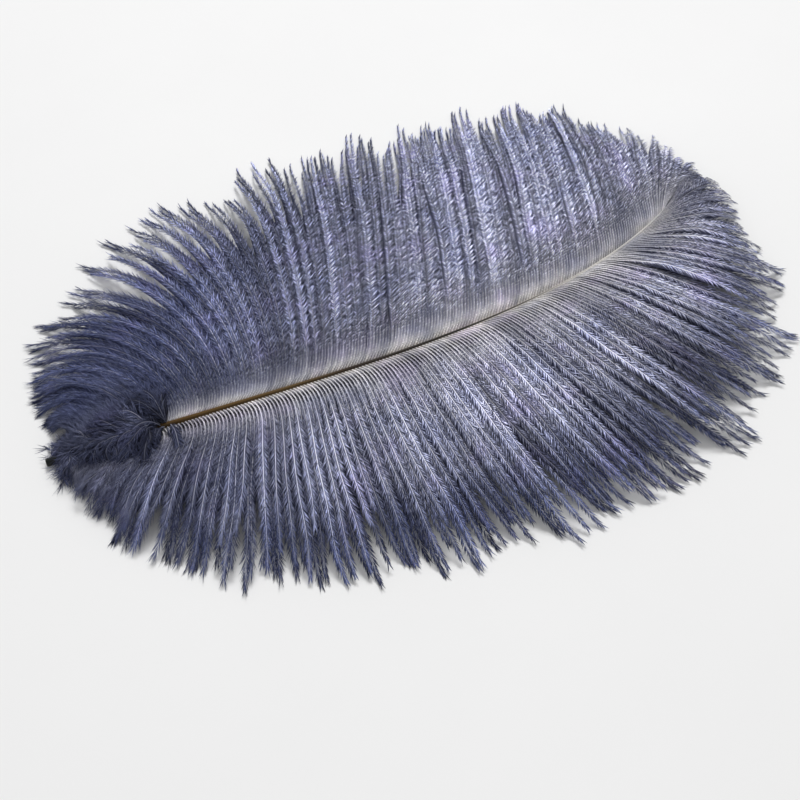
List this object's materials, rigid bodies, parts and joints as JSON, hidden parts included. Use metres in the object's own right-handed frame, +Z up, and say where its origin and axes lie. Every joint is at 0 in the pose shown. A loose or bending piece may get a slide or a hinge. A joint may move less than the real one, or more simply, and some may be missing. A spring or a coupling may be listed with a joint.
{
  "type": "ostrich feather",
  "caption": "Ostrich feather with a cut quill, an arched tapering shaft and two wide, soft, loose vanes that lie down to the surface it rests on.",
  "frame": {"origin": "on the ground plane, under the middle of the feather's own box", "axes": "+X from the quill's cut end to the tip, +Y towards the wider vane, +Z up from the surface it lies on"},
  "size_m": [0.3273, 0.2521, 0.0214],
  "materials": {
    "barbs": "soft matt dyed down, slate blue-grey, paler near the shaft",
    "shaft": "satin horn, golden brown, near black at the cut quill and cream at the tip"
  },
  "bodies": {
    "root": {"feather": "barbs"}
  },
  "joints": []
}
